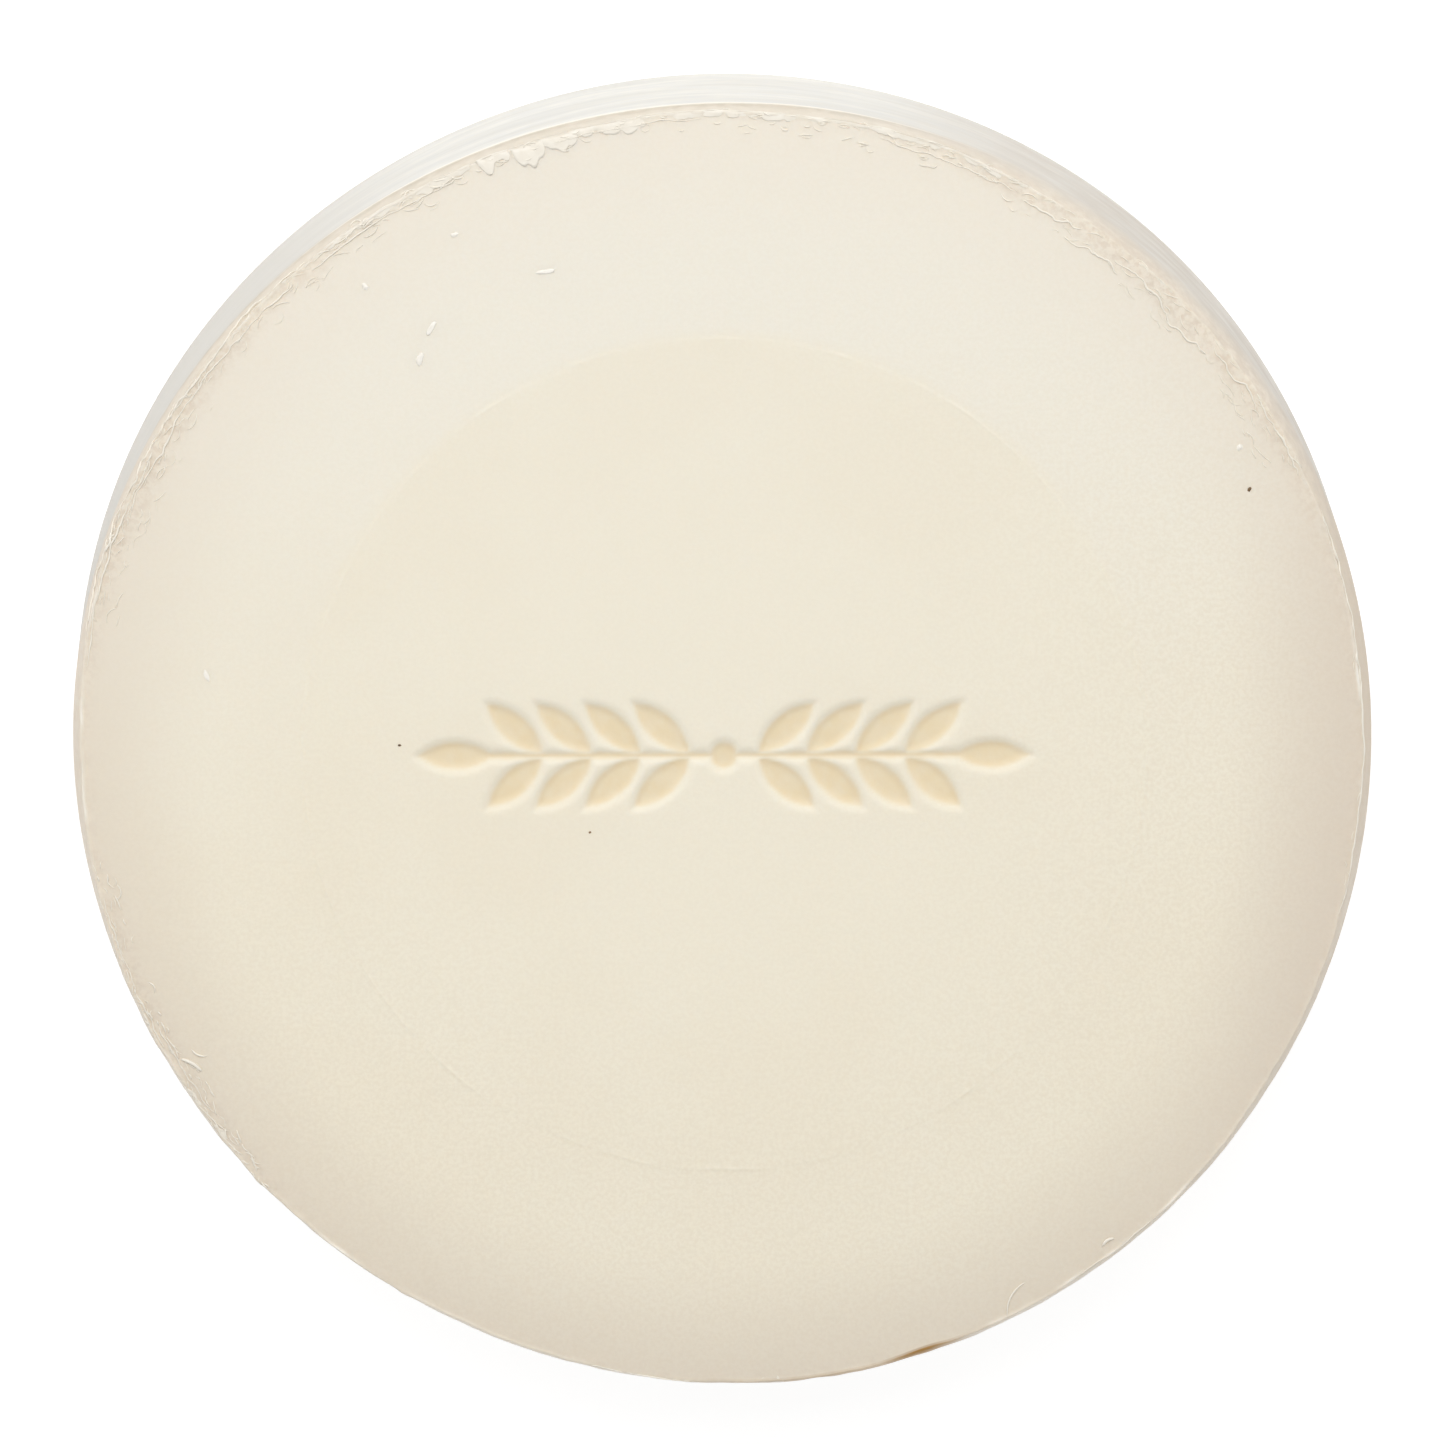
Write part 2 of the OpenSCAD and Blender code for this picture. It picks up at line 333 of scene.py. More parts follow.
class Cake(Builder):
    """The cake's closed skin, made of rings that grow from the sprig's patch round to the back."""

    def __init__(self):
        super().__init__("shoulder", "wall", "lip", "chip", "recess", "fray")
        self.last = None

    def ring(self, r, z, **masks):
        """Joins one more ring of points to the last one."""
        numbers = self.add(r * self.ux, r * self.uy, z, **masks)
        self.join(self.last, numbers)
        self.last = numbers

    def set_count(self, count):
        self.angle = np.arange(count) * 2 * math.pi / count
        self.ux, self.uy = np.cos(self.angle), np.sin(self.angle)

    def stamp_patch(self):
        """The fine grid under the sprig."""
        x, y = np.meshgrid(np.linspace(-PATCH_X, PATCH_X, CELLS_X + 1),
                           np.linspace(-PATCH_Y, PATCH_Y, CELLS_Y + 1), indexing="ij")
        z = face_height(x, y)
        depth = smooth(0.08, STAMP_DEPTH * 0.8, crown_z(np.hypot(x, y)) - SKIN - z)
        n = self.add(x, y, z, recess=depth)
        self.quads(n[:-1, :-1], n[1:, :-1], n[1:, 1:], n[:-1, 1:])
        outline = grid_outline(n)
        bearings = np.arctan2(y.ravel()[outline], x.ravel()[outline])
        self.last = np.roll(outline, -int(np.argmin(np.abs(bearings))))

    def inner_face(self):
        """From the patch out to a circle."""
        start = self.points[0][self.last]
        self.set_count(len(self.last))
        for share in (np.arange(1, 17) / 16) ** 1.15:
            x = start[:, 0] * (1 - share) + INNER_R * self.ux * share
            y = start[:, 1] * (1 - share) + INNER_R * self.uy * share
            numbers = self.add(x, y, face_height(x, y))
            self.join(self.last, numbers)
            self.last = numbers

    def outer_face(self):
        """Across the fine ring and out to the rim's lip."""
        radii = [*np.linspace(INNER_R + 0.1, WITNESS_R + 0.45, 13),
                 *np.linspace(WITNESS_R + 0.9, FACE_R - 2.3, 14)]
        for r in radii:
            self.ring(r, face_height(r * self.ux, r * self.uy))

    def rim(self):
        """The frayed edge of the face and the thin lip that stands up along it."""
        self.set_count(2 * len(self.angle))
        edge, torn_here = face_edge(self.angle), rough(self.angle)
        chip = bump_at(self.angle, CHIP_BEARING, CHIP_HALF)
        chip_shadow = self.chip_shadow()
        lip_h = np.clip(0.05 + 0.09 * round_rim(self.angle, 2.2, 12), 0.01, 0.16) * (1 - chip)
        for bearing, half_width, gone in LOW_LIP:
            lip_h = lip_h * (1 - gone * bump_at(self.angle, bearing, half_width))
        for inset, rise, pale in RIM_RINGS:
            reach = 0.7 + 1.0 * torn_here + 0.6 * round_rim(self.angle, 2.8, 46, 3)
            fray = torn_here * smooth(1.0, 0.25, inset / np.clip(reach, 0.3, 2.4))
            r = edge - inset
            x, y = r * self.ux, r * self.uy
            tufts = 0.045 * fractal(x, y, 0, 0.8, 45, 2) * fray
            tufts = tufts + 0.03 * fractal(x, y, 0, 0.7, 48, 2) * smooth(0.8, 0.2, inset)
            shadow_share = chip_shadow if inset < SHADOW_FULL else 0.5 * chip_shadow * (inset < SHADOW_IN)
            self.ring(r, face_height(x, y) + lip_h * rise + tufts, fray=fray,
                      lip=pale * smooth(0.04, 0.12, lip_h), chip=shadow_share)

    def chip_shadow(self):
        """How much golden painted shadow the rim takes: fully at the chip, and faintly beside it."""
        chip = bump_at(self.angle, CHIP_BEARING, CHIP_HALF)
        return np.maximum(chip, 0.4 * bump_at(self.angle, CHIP_BEARING - 8, 20))

    def front_shoulder(self):
        """The ragged shoulder from the edge of the face down to the side wall."""
        shift, oval = rim_shift(self.angle), out_of_round(self.angle)
        blend, drop = merged(self.angle), shoulder_drop(self.angle)
        for share in SHOULDER_RINGS:
            r, z = shoulder_point(share, shift, oval, drop)
            torn = 0.07 * fractal(r * self.ux, r * self.uy, z, 1.3, 41) * (1 - share) ** 0.6
            crisp = (1 - blend) * ridged(self.angle) * smooth(0.9, 1.0, share)
            self.ring(np.minimum(r + torn, WALL_R + oval) - SKIN * share,
                      z + torn * 0.4 - SKIN * 0.5, shoulder=0.55 + 0.45 * smooth(0.3, 0.9, share),
                      wall=blend * smooth(0.0, 1.2, share) + crisp, fray=rough(self.angle),
                      chip=self.chip_shadow() * (1 - smooth(0.2, 0.6, share)))

    def wall(self):
        """The straight side, with a bead along its top edge and long faint streaks."""
        self.set_count(len(self.angle) // 2)
        blend, ridge = merged(self.angle), ridged(self.angle)
        top = EDGE_Z - shoulder_drop(self.angle)
        rows = [(top - d, ridge * smooth(-0.15, 0.15, d) + (1 - ridge) * smooth(-0.4, 1.3, d),
                 math.exp(-(((d - BEAD_DROP) / BEAD_H) ** 2))) for d in BEAD_ROWS]
        low = WALL_LOW + 0.7
        rows += [(low + (top - 1.7 - low) * u, 1.0, 0.0) for u in np.linspace(1, 0, 16)]
        rows += [(WALL_LOW + d, 1.0, 0.0) for d in (0.4, 0.2, 0.05, -0.1)]
        for z, is_wall, bead in rows:
            groove = 0.010 * fractal(2.6 * self.ux, 2.6 * self.uy, z / 1.2, 1.0, 51, 2)
            swell = 0.012 * fractal(WALL_R * self.ux, WALL_R * self.uy, z, 14, 53, 2)
            r = WALL_R + BEAD_OUT * bead * ridge - 0.01 + groove + swell
            mask = np.maximum(is_wall, blend * smooth(WALL_LOW, WALL_LOW + 1, z))
            # the lip mask here paints a highlight along the bead
            self.ring(np.minimum(r - SKIN, WALL_R) + out_of_round(self.angle), z, wall=mask,
                      shoulder=1.0, lip=bead * ridge)

    def back(self):
        """Back shoulder and back face, plain."""
        shift = 0.10 * round_rim(self.angle, 4.0, 61) - 0.05
        oval = out_of_round(self.angle)
        for share in BACK_SHARES:
            r, z = shoulder_point(share, shift, oval)
            torn = 0.03 * fractal(r * self.ux, r * self.uy, z, 1.5, 63) * (1 - share)
            self.ring(r + torn - SKIN, FACE_Z - z, shoulder=1 - 0.6 * share,
                      wall=smooth(0.25, 1.0, share))
        for r in BACK_RINGS:
            r = r + oval * smooth(20, FACE_R, r)
            x, y = r * self.ux, r * self.uy
            dents = 0.02 + 0.02 * fractal(x, y, 3.0, 7, 71)
            self.ring(r, FACE_Z - crown_z(r) + dents, shoulder=smooth(FACE_R - 1, FACE_R, r) * 0.5)
        centre = self.add(np.zeros(1), np.zeros(1), np.full(1, 0.02))[0]
        ends = np.roll(self.last, -1).tolist()
        self.faces += [[a, int(centre), b] for a, b in zip(self.last.tolist(), ends)]


def cake_piece():
    cake = Cake()
    cake.stamp_patch()
    cake.inner_face()
    cake.outer_face()
    cake.rim()
    cake.front_shoulder()
    cake.wall()
    cake.back()
    return piece("cake", cake.mesh("cake"), "soap", "soap_cake")


# ---------------------------------------------------------------- torn flash
class Shavings(Builder):
    """Thin torn films and threads of soap along the rim, each a closed solid."""

    def __init__(self):
        super().__init__("tip")

    def sheet(self, x, y, low, high, tip):
        """A closed thin solid between two grids of heights."""
        top = self.add(x, y, high, tip=tip)
        under = self.add(x, y, low, tip=tip)
        self.quads(top[:-1, :-1], top[:-1, 1:], top[1:, 1:], top[1:, :-1])
        self.quads(under[:-1, :-1], under[1:, :-1], under[1:, 1:], under[:-1, 1:])
        upper, lower = grid_outline(top), grid_outline(under)
        self.quads(upper, np.roll(upper, -1), np.roll(lower, -1), lower)

    def film(self, start, end, reach, seed, out=0.15, lift=0.10, step=0.08):
        """A film torn from the rim between two bearings, folded in over the face by reach."""
        run = math.radians(end - start)
        u = np.linspace(0, 1, max(8, int(run * FACE_R / step)))
        angle = math.radians(start) + run * u
        scallop = 0.78 + 0.6 * round_rim(angle, 2.6, seed, 2)
        teeth = 0.38 * round_rim(angle, 0.7, seed + 1, 2) + 0.30 * round_rim(angle, 0.28, seed + 2, 1)
        width = out + reach * (4 * u * (1 - u)) ** 0.35 * np.clip(scallop + teeth, 0.08, 1.5)
        v = np.linspace(0, 1, 8)[:, None]
        edge = face_edge(angle)
        r = edge + out - width * v
        turn = angle + 0.25 * round_rim(angle, 1.5, seed + 3, 2) * width * v / FACE_R
        rise = lift * np.clip(0.4 + 0.6 * round_rim(angle, 1.8, seed + 4, 2), 0.03, 1.0)
        curl = np.sin(math.pi * np.clip(v, 0, 0.85)) * np.minimum(1, width / 0.5)
        wrinkle = 0.02 * fractal(r * np.cos(turn), r * np.sin(turn), 0, 0.5, seed + 6, 2)
        low = skin_z(r, edge) - 0.02 + rise * curl + wrinkle * v
        self.sheet(r * np.cos(turn), r * np.sin(turn), low, low + 0.02 + 0.03 * (1 - v), v + 0 * r)

    def tube(self, x, y, z, width, sides=6):
        """A flattened thread along a path, with that width at each point."""
        path = np.stack([x, y], axis=1)
        along = np.gradient(path, axis=0)
        along /= np.linalg.norm(along, axis=1)[:, None]
        a = np.arange(sides) * 2 * math.pi / sides
        across = np.cos(a)[None, :] * width[:, None] / 2
        up = np.sin(a)[None, :] * width[:, None] * 0.30
        n = self.add(x[:, None] + along[:, 1:] * across, y[:, None] - along[:, :1] * across,
                     z[:, None] + up, tip=1.0)
        after = np.roll(n, -1, axis=1)
        self.quads(n[:-1], n[1:], after[1:], after[:-1])
        self.faces.append(n[0].tolist())
        self.faces.append(n[-1, ::-1].tolist())

    def thread(self, start, end, inset, seed, width=0.11, sway=0.12, step=0.10):
        """A wavy thread that follows the rim between two bearings, inset from the edge."""
        run = math.radians(end - start)
        u = np.linspace(0, 1, max(8, int(run * FACE_R / step)))
        angle = math.radians(start) + run * u
        edge = face_edge(angle)
        waves = round_rim(angle, 2.2, seed, 2) + 0.5 * round_rim(angle, 0.6, seed + 1, 2)
        r = edge - inset + sway * waves
        full = width * (0.8 + 0.5 * round_rim(angle, 0.9, seed + 2, 2))
        full = full * (0.15 + 0.85 * (4 * u * (1 - u)) ** 0.3)
        z = skin_z(r, edge) + full * 0.3 + 0.03 * (1 + round_rim(angle, 1.5, seed + 3, 2))
        self.tube(r * np.cos(angle), r * np.sin(angle), z, full)

    def hair(self, start, end, bow, width=0.11):
        """A loose curved hair of soap between two places on the face, (across, up) in mm."""
        start, end = np.array(start), np.array(end)
        u = np.linspace(0, 1, max(6, int(np.linalg.norm(end - start) / 0.12)))
        side = np.array([start[1] - end[1], end[0] - start[0]])
        path = start + (end - start) * u[:, None] + side * (bow * 4 * u * (1 - u))[:, None]
        r = np.hypot(path[:, 0], path[:, 1])
        edge = face_edge(np.arctan2(path[:, 1], path[:, 0]))
        full = width * (0.2 + 0.8 * (4 * u * (1 - u)) ** 0.4)
        z = skin_z(r, edge) + full * 0.3 + 0.04 * np.sin(math.pi * u)
        self.tube(path[:, 0], path[:, 1], z, full)

    def fuzz(self, start, end, count, seed, depth=1.2, length=1.1, width=0.065):
        """Short fine hairs scattered just inside the rim between two bearings."""
        for i in range(count):
            t = [float(lattice(i, k, 0, seed)) for k in range(6)]
            angle = math.radians(start + (end - start) * t[0])
            away = float(face_edge(np.array(angle))) - 0.05 - depth * t[1] ** 1.6
            heading = angle + math.pi / 2 + 0.9 * (t[2] - 0.5)
            reach = length * (0.3 + 0.7 * t[3]) / 2
            middle = np.array((away * math.cos(angle), away * math.sin(angle)))
            along = np.array((math.cos(heading), math.sin(heading))) * reach
            self.hair(middle - along, middle + along, 0.6 * (t[4] - 0.5), width * (0.6 + 0.8 * t[5]))


def flap_top(flash):
    flash.film(86.5, 92, 0.55, 200, out=0.05, lift=0.05)
    flash.film(91, 97, 0.75, 203, out=0.05, lift=0.05)
    flash.film(96, 104, 0.8, 210, out=0.05, lift=0.05)
    flash.film(103.0, 106.6, 0.95, 212, out=0.04, lift=0.05)
    flash.film(106.2, 109.2, 1.25, 215, out=0.05, lift=0.09)
    flash.film(109.4, 112.4, 1.1, 218, out=0.05, lift=0.08)
    flash.thread(92, 106, 0.35, 221, width=0.09, sway=0.2)
    flash.fuzz(87, 113, 40, 219, depth=1.0, length=0.8)


def strip_upper_left(flash):
    flash.film(113.0, 120, 0.5, 220, out=0.04, lift=0.05)
    flash.film(119, 130, 0.35, 224, out=0.04, lift=0.04)
    flash.thread(115, 130, 0.5, 226, width=0.11)
    flash.fuzz(114, 131, 46, 228, depth=1.2)


def fringe_left(flash):
    for start, end, inset, seed in ((130, 150, -0.05, 230), (147, 169, -0.05, 233),
                                    (132, 146, 0.45, 236), (144, 158, 0.5, 239),
                                    (152, 172, 0.18, 245)):
        flash.thread(start, end, inset, seed, width=0.12, sway=0.22)
    flash.film(140, 145, 0.25, 248, out=0.02, lift=0.03)
    flash.fuzz(130, 168, 110, 250, depth=1.7, width=0.055)


def shreds_lower_left(flash):
    for start, end, inset, seed in ((193, 199, 0.15, 251), (198, 203, 0.3, 252),
                                    (202, 208, 0.2, 255), (206, 211, 0.5, 258),
                                    (210, 215, 0.3, 261), (214, 220, 0.2, 263)):
        flash.thread(start, end, inset, seed, width=0.09, sway=0.22)
    flash.film(212, 219, 0.4, 264, out=0.05, lift=0.05)
    flash.fuzz(190, 224, 90, 265, depth=1.2, length=1.0)
    flash.hair((-30.9, -17.5), (-29.7, -18.2), 0.1, width=0.22)
    flash.hair((-30.3, -16.9), (-29.4, -17.3), -0.15, width=0.12)


def nub_bottom(flash):
    flash.thread(258, 267, 0.0, 270, width=0.10)
    flash.film(273.2, 275.4, 0.45, 273, out=0.08, lift=0.12)


def thread_lower_right(flash):
    flash.hair((17.2, -30.6), (16.2, -32.7), -0.16)


def flake_lower_right(flash):
    flash.hair((21.6, -28.6), (22.3, -28.1), 0.2, width=0.18)
    flash.thread(303, 312, 0.12, 276, width=0.07)


def ridge_right(flash):
    flash.thread(-15, 3, 0.02, 280, width=0.10, sway=0.08)
    flash.thread(-1, 23, 0.0, 283, width=0.15, sway=0.10)
    flash.fuzz(-12, 24, 9, 285, depth=0.5, length=0.8, width=0.04)


def fringe_upper_right(flash):
    for start, end, inset, seed in ((26, 34, 0.3, 290), (33, 40, 0.7, 293), (40, 46, 1.1, 296),
                                    (45, 52, 0.8, 299), (51, 57, 1.2, 302), (56, 62, 0.7, 305)):
        flash.thread(start, end, inset, seed, width=0.12, sway=0.5)
    flash.film(46, 51, 0.3, 311, out=0.0, lift=0.04)
    flash.fuzz(27, 64, 80, 316, depth=2.0, width=0.05)


def strip_top_right(flash):
    flash.film(62, 69, 0.3, 320, out=0.03, lift=0.04)
    flash.film(70, 78, 0.4, 322, out=0.04, lift=0.05)
    flash.film(77, 87, 0.45, 324, out=0.05, lift=0.05)
    flash.thread(63, 76, 0.7, 328, width=0.08, sway=0.25)
    flash.fuzz(63, 88, 55, 330, depth=1.4, length=0.9)


TORN = (flap_top, strip_upper_left, fringe_left, shreds_lower_left, nub_bottom,
        thread_lower_right, flake_lower_right, ridge_right, fringe_upper_right, strip_top_right)


def torn_pieces(material):
    """Every run of flash round the rim, each one standing for the CAD node of the same name."""
    for shape in TORN:
        flash = Shavings()
        shape(flash)
        name = "torn_" + shape.__name__
        obj = piece(name, flash.mesh(name), "flash", "flash_" + shape.__name__)
        obj.data.materials.append(material)


# ---------------------------------------------------------------- crumbs and grains
class Bits(Builder):
    """Rough rounded bits that lie on the face."""

    def lump(self, share, bearing, length, turn, width, height, seed, rows=7, around=14):
        """One bit, share of the way out to the face's edge, turned away from its bearing."""
        away, facing = share * FACE_R, math.radians(bearing)
        heading = facing + math.radians(turn)
        polar, a = np.meshgrid(np.linspace(0, 0.48 * math.pi, rows),
                               np.arange(around) * 2 * math.pi / around, indexing="ij")
        px, py, pz = np.cos(a) * np.cos(polar), np.sin(a) * np.cos(polar), np.sin(polar)
        knobs = 1 + 0.35 * value_noise(px * 1.7 + 9 * seed, py * 1.7, pz * 1.7, seed)
        along, across = px * knobs * length / 2, py * knobs * width / 2
        x = away * math.cos(facing) + along * math.cos(heading) - across * math.sin(heading)
        y = away * math.sin(facing) + along * math.sin(heading) + across * math.cos(heading)
        n = self.add(x, y, face_height(x, y) - 0.015 + pz * knobs * height)
        after = np.roll(n, -1, axis=1)
        self.quads(n[:-1], after[:-1], after[1:], n[1:])
        self.faces.append(n[0, ::-1].tolist())
        self.faces.append(n[-1].tolist())


# Each bit: share of the way out, bearing, length, turn, width and height. Places and turns are those
# of the CAD solids that they stand for. The bits are thinner than those, and some are shorter.
CRUMBS = (
    (0.922, 117, 0.45, 83, 0.30, 0.08),
    (0.927, 127, 0.5, 13, 0.34, 0.08),
    (0.815, 124, 1.0, 116, 0.32, 0.08),
    (0.786, 127, 0.8, 128, 0.38, 0.09),
    (0.813, 110, 1.1, 78, 0.26, 0.08),
    (0.817, 171, 0.8, 119, 0.26, 0.08),
    (0.939, 31, 0.4, 14, 0.34, 0.09),
)
GRAINS = (
    (0.507, 178, 0.20, 2, 0.14, 0.08),
    (0.920, 27, 0.30, 33, 0.2, 0.09),
    (0.242, 210, 0.16, 0, 0.12, 0.07),
)


def bits_piece(name, slot, node, places, material):
    bits = Bits()
    for seed, place in enumerate(places):
        bits.lump(*place, seed=seed + 100)
    piece(name, bits.mesh(name), slot, node).data.materials.append(material)


# ---------------------------------------------------------------- materials
class Shader:
    """A material with a Principled shader and short calls for its nodes."""

    def __init__(self, name):
        self.material = bpy.data.materials.new(name)
        self.material.use_nodes = True
        self.nodes = self.material.node_tree.nodes
        self.links = self.material.node_tree.links
        self.main = self.nodes["Principled BSDF"]
        self.place = self.nodes.new("ShaderNodeTexCoord").outputs["Object"]

    def feed(self, socket, value):
        if isinstance(value, bpy.types.NodeSocket):
            self.links.new(value, socket)
        else:
            socket.default_value = value

    def mask(self, name):
        node = self.nodes.new("ShaderNodeAttribute")
        node.attribute_name = name
        return node.outputs["Fac"]

    def stretched(self, scale):
        node = self.nodes.new("ShaderNodeMapping")
        self.links.new(self.place, node.inputs["Vector"])
        node.inputs["Scale"].default_value = scale
        return node.outputs["Vector"]

    def noise(self, size_mm, detail=3.0, vector=None):
        """Noise from 0 to 1 whose features are about size_mm across."""
        node = self.nodes.new("ShaderNodeTexNoise")
        self.links.new(vector or self.place, node.inputs["Vector"])
        node.inputs["Scale"].default_value = 1 / (size_mm * MM)
        node.inputs["Detail"].default_value = detail
        node.inputs["Roughness"].default_value = 0.55
        return node.outputs["Fac"]

    def spread(self, value, low, high, to_low=0.0, to_high=1.0):
        node = self.nodes.new("ShaderNodeMapRange")
        node.interpolation_type = "SMOOTHSTEP"
        self.feed(node.inputs["Value"], value)
        limits = {"From Min": low, "From Max": high, "To Min": to_low, "To Max": to_high}
        for name, limit in limits.items():
            node.inputs[name].default_value = limit
        return node.outputs["Result"]

    def maths(self, operation, a, b):
        node = self.nodes.new("ShaderNodeMath")
        node.operation = operation
        self.feed(node.inputs[0], a)
        self.feed(node.inputs[1], b)
        return node.outputs["Value"]

    def mix(self, share, a, b, kind="RGBA"):
        """Colours mixed by share, or plain values when kind is FLOAT."""
        node = self.nodes.new("ShaderNodeMix")
        node.data_type = kind
        ends = {"RGBA": ("A_Color", "B_Color"), "FLOAT": ("A_Float", "B_Float")}[kind]
        sockets = {s.identifier: s for s in node.inputs}
        self.feed(sockets["Factor_Float"], share)
        self.feed(sockets[ends[0]], a)
        self.feed(sockets[ends[1]], b)
        return {s.identifier: s for s in node.outputs}["Result_" + ends[0][2:]]

    def across(self, x, y):
        """Distance in mm along a direction on the face."""
        node = self.nodes.new("ShaderNodeVectorMath")
        node.operation = "DOT_PRODUCT"
        self.links.new(self.place, node.inputs[0])
        node.inputs[1].default_value = (x / MM, y / MM, 0)
        return node.outputs["Value"]

    def radius_mm(self):
        """Distance from the puck's axis."""
        flat = self.nodes.new("ShaderNodeVectorMath")
        flat.operation = "MULTIPLY"
        self.links.new(self.place, flat.inputs[0])
        flat.inputs[1].default_value = (1 / MM, 1 / MM, 0)
        length = self.nodes.new("ShaderNodeVectorMath")
        length.operation = "LENGTH"
        self.links.new(flat.outputs["Vector"], length.inputs[0])
        return length.outputs["Value"]

    def relief(self, height, depth_mm):
        node = self.nodes.new("ShaderNodeBump")
        node.inputs["Distance"].default_value = depth_mm * MM
        self.feed(node.inputs["Height"], height)
        self.links.new(node.outputs["Normal"], self.main.inputs["Normal"])


def srgb(r, g, b):
    """A colour given as 0 to 255 screen values, as the linear one that shaders take."""
    def linear(c):
        c = c / 255
        return c / 12.92 if c <= 0.04045 else ((c + 0.055) / 1.055) ** 2.4
    return (linear(r), linear(g), linear(b), 1.0)


def face_colour(s):
    """Cream with painted light high up outside the fine ring, speckled, and painted shade towards the
    rim, at the lower right and right, and in the stamp's recess.
    """
    clouds = s.spread(s.noise(14, 2), 0.38, 0.62)
    body = s.mix(clouds, srgb(241, 234, 216), srgb(240, 232, 213))
    # painted light: the face paler high up, towards the light, more so outside the fine ring
    up = s.spread(s.across(0, 1), -10, 30)
    outside_ring = s.spread(s.radius_mm(), WITNESS_R - 0.3, WITNESS_R + 0.8, 0.35, 1.0)
    body = s.mix(s.maths("MULTIPLY", up, outside_ring), body, srgb(241, 236, 223))
    # painted shade: a little darker towards the lower right, where the face falls away from the light
    painted_shade_low_right = s.spread(s.across(0.35, -0.94), 8, 36)
    body = s.mix(s.maths("MULTIPLY", painted_shade_low_right, 0.55), body, srgb(238, 231, 213))
    grain = s.spread(s.noise(0.22, 3), 0.3, 0.7)
    coarse = s.spread(s.radius_mm(), 8, 30, 0.14, 0.36)
    speckled = s.maths("MULTIPLY", coarse, s.spread(s.across(0.4, -0.9), -25, 15, 0.35, 1.25))
    body = s.mix(s.maths("MULTIPLY", grain, speckled), body, srgb(228, 217, 196))
    # painted shade: darker towards the rim, where the crown falls away from the light, less so at the
    # top that faces it
    painted_shade_rim = s.spread(s.radius_mm(), 28.0, 37.0, 0.0, 0.75)
    shade = s.spread(s.across(0, 1), -6, 34, 0.66, 0.36)
    body = s.mix(s.maths("MULTIPLY", painted_shade_rim, shade), body, srgb(220, 207, 191))
    # painted shade: darker still towards the right edge
    right = s.spread(s.across(1, -0.1), 27, 37, 0.0, 0.45)
    body = s.mix(right, body, srgb(216, 202, 186))
    # painted shade: a warmer, mottled tan inside the stamp's recess
    blotches = s.spread(s.noise(0.9, 3), 0.3, 0.7, 0.75, 1.0)
    return s.mix(s.maths("MULTIPLY", s.mask("recess"), blotches), body, srgb(235, 218, 184))


def shoulder_colour(s, painted_light_low):
    """Mottled tan, partly painted shade, with more painted shade high up and at the right, and painted
    light low down.
    """
    # the tan is partly the shoulder's own mottled colour and partly painted shade of a steep side
    # turned from the light
    tan = s.mix(s.spread(s.noise(1.1, 4), 0.35, 0.65), srgb(228, 217, 201), srgb(219, 205, 187))
    # painted shade, mottled: darker high up, where the shoulder faces the light
    painted_shade_high = s.spread(s.across(-0.2, 0.98), 14, 30)
    mottle = s.spread(s.noise(0.8, 4), 0.35, 0.65, 0.55, 0.9)
    tan = s.mix(s.maths("MULTIPLY", painted_shade_high, mottle), tan, srgb(192, 182, 164))
    # painted shade: darker at the right, where the shoulder turns from the light
    painted_shade_right = s.spread(s.across(0.98, 0.17), 33.5, 36.5, 0.0, 0.75)
    tan = s.mix(painted_shade_right, tan, srgb(203, 184, 158))
    # painted light: paler low down
    return s.mix(painted_light_low, tan, srgb(249, 244, 235))


def frayed(s, body, fray):
    """The torn edge of the face, pale with tan fibres, and the scuffed shoulder at the upper right."""
    fibres = s.spread(s.noise(0.35, 5), 0.36, 0.60, 1.0, 0.0)
    body = s.mix(s.maths("MULTIPLY", fray, 0.40), body, srgb(231, 220, 204))
    body = s.mix(s.maths("MULTIPLY", fray, s.maths("MULTIPLY", fibres, 0.6)), body, srgb(216, 202, 184))
    scuffs = s.maths("MULTIPLY", s.spread(s.noise(0.9, 4), 0.40, 0.60, 0.15, 0.8), s.mask("shoulder"))
    high_right = s.spread(s.across(0.74, 0.67), 29, 35)
    return s.mix(s.maths("MULTIPLY", high_right, scuffs), body, srgb(206, 193, 177))


def wall_colour(s, streaks, painted_light_low):
    """Greyer than the face, which is painted grazing reflection and shade, and streaked: painted shade
    at the left, worn at the upper right, painted light low down.
    """
    # the wall's grey, less warm than the face's cream, is painted grazing reflection and shade; the
    # streaks are its own
    streaky = s.maths("MULTIPLY", streaks, s.spread(s.across(0, 1), 20, 36, 0.3, 1.0))
    wall = s.mix(streaky, srgb(230, 227, 219), srgb(216, 213, 205))
    frosting = s.spread(s.noise(0.9, 4, s.stretched((0.4, 0.4, 1.4))), 0.35, 0.65, 0.0, 0.6)
    wall = s.mix(frosting, wall, srgb(217, 216, 212))
    # painted shade: the wall greyer and cooler at the left
    painted_shade_left = s.spread(s.across(-0.87, 0.5), 30, 36.5)
    wall = s.mix(s.maths("MULTIPLY", painted_shade_left, 0.9), wall, srgb(211, 207, 199))
    worn = s.spread(s.noise(1.6, 4, s.stretched((0.45, 0.45, 0.9))), 0.30, 0.66, 0.48, 0.85)
    warm = s.maths("MULTIPLY", s.spread(s.across(0.77, 0.64), 29, 37), worn)
    wall = s.mix(warm, wall, srgb(200, 191, 179))
    wall = s.mix(s.spread(s.across(0.5, -0.87), 0, 30), wall, srgb(238, 231, 218))
    # painted light: paler low down
    return s.mix(painted_light_low, wall, srgb(246, 241, 231))


